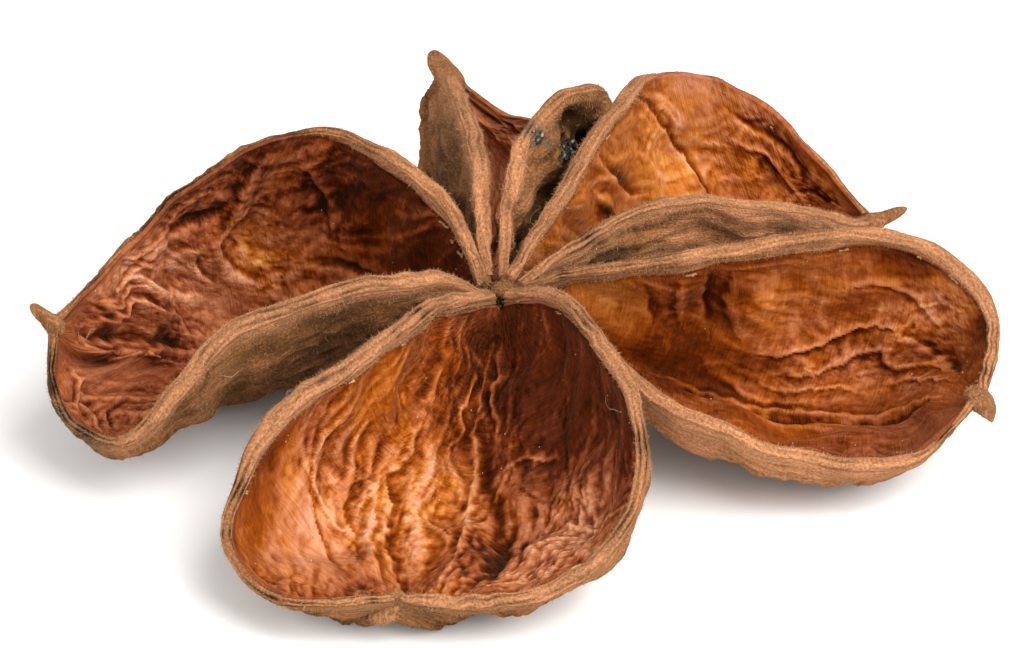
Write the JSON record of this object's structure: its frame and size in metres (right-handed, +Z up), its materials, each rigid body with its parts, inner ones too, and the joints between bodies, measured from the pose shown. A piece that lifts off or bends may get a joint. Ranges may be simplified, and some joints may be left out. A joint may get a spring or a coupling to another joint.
{
  "type": "dried seed pod",
  "caption": "Dried woody seed pod: open boat-shaped follicles spread from one stalk, with thick velvety rims and wrinkled glossy linings. It lies on its keels as a decoration.",
  "frame": {"origin": "on the floor, under the middle of the pod's bounding box", "axes": "+Z up, +X along the pod's widest spread, -Y towards the follicle that faces the camera"},
  "size_m": [0.1262, 0.0995, 0.0416],
  "materials": {
    "dried_velvet_husk": "dry brown husk, velvety outside and silky inside"
  },
  "bodies": {
    "root": {"pod": "dried_velvet_husk"}
  },
  "joints": []
}
